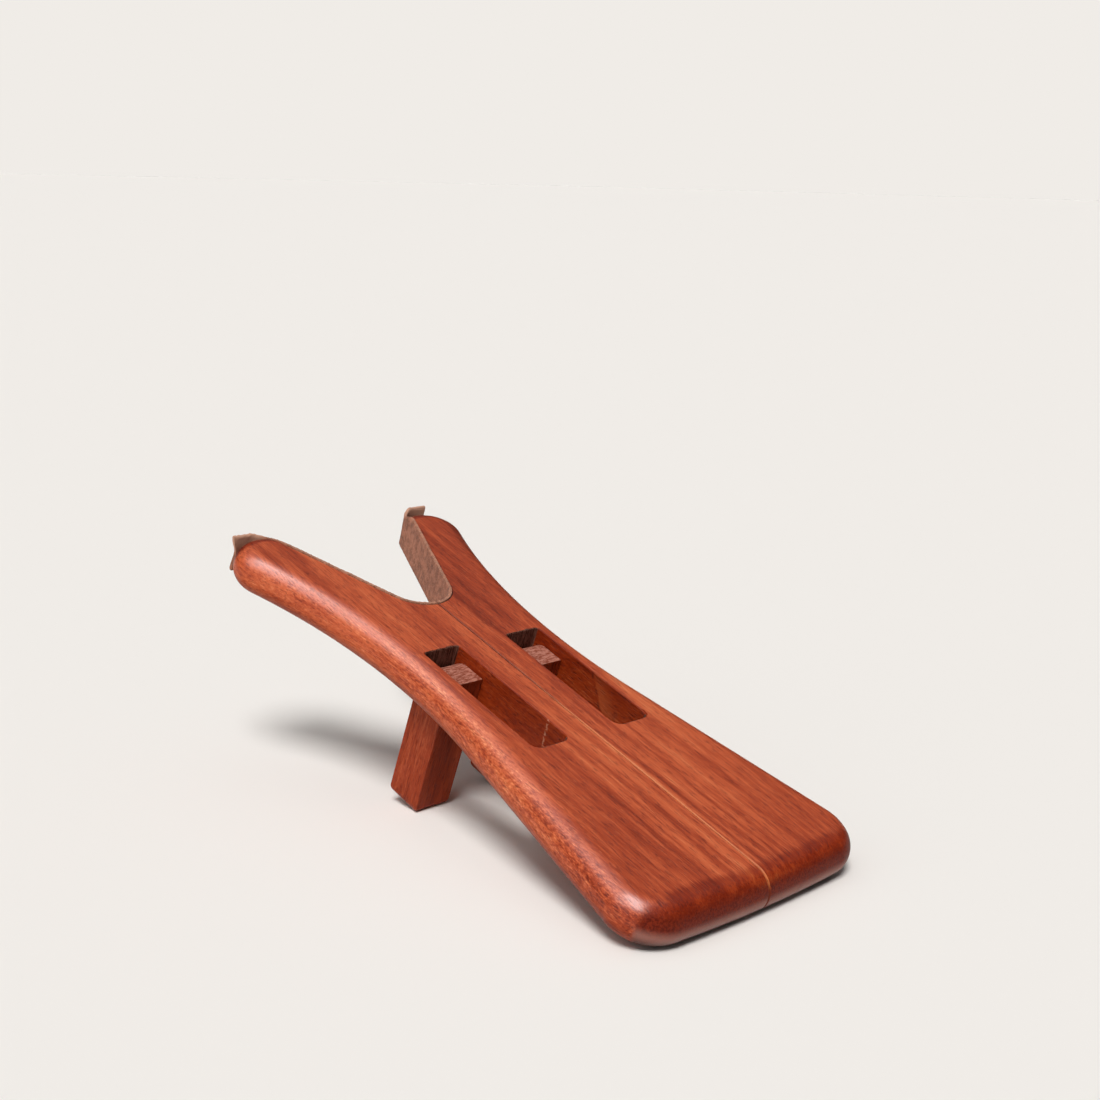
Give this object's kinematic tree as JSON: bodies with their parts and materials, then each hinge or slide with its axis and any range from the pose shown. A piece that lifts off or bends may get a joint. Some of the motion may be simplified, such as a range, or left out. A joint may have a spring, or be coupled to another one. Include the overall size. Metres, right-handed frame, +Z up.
{
  "type": "boot jack",
  "caption": "Folding hardwood boot jack with a suede-lined heel notch, swing-down legs and brass hinges under the seam.",
  "frame": {"origin": "centre of the footprint on the floor, with the jack standing on its rear edge and its two legs", "axes": "+X to the right when standing behind the tread and looking at the notch, +Y from the tread towards the heel notch, +Z up"},
  "size_m": [0.1168, 0.2446, 0.0983],
  "materials": {
    "wood": "satin",
    "suede": "matte",
    "brass": "satin",
    "steel": "satin"
  },
  "bodies": {
    "left_half": {"half_left": "wood", "leg_pin_left": "steel", "suede_left": "suede", "rear_hinge_leaf_left": "brass", "rear_hinge_pin": "brass", "rear_hinge_screws_left": "brass", "front_hinge_leaf_left": "brass", "front_hinge_pin": "brass", "front_hinge_screws_left": "brass"},
    "right_half": {"half_right": "wood", "leg_pin_right": "steel", "suede_right": "suede", "rear_hinge_leaf_right": "brass", "rear_hinge_screws_right": "brass", "front_hinge_leaf_right": "brass", "front_hinge_screws_right": "brass"},
    "left_leg": {"leg_left": "wood"},
    "right_leg": {"leg_right": "wood"}
  },
  "joints": [
    {"name": "board_fold", "type": "hinge", "parent": "left_half", "child": "right_half", "pos_m": [0, -0.03773, 0.02584], "axis": [0, 0.9437, 0.3309], "range_deg": [0, 28]},
    {"name": "leg_left_fold", "type": "hinge", "parent": "left_half", "child": "left_leg", "pos_m": [-0.0208, 0.01739, 0.0545], "axis": [-1, 0, 0], "range_deg": [0, 90]},
    {"name": "leg_right_fold", "type": "hinge", "parent": "right_half", "child": "right_leg", "pos_m": [0.0208, 0.01739, 0.0545], "axis": [-1, 0, 0], "range_deg": [0, 90]}
  ]
}
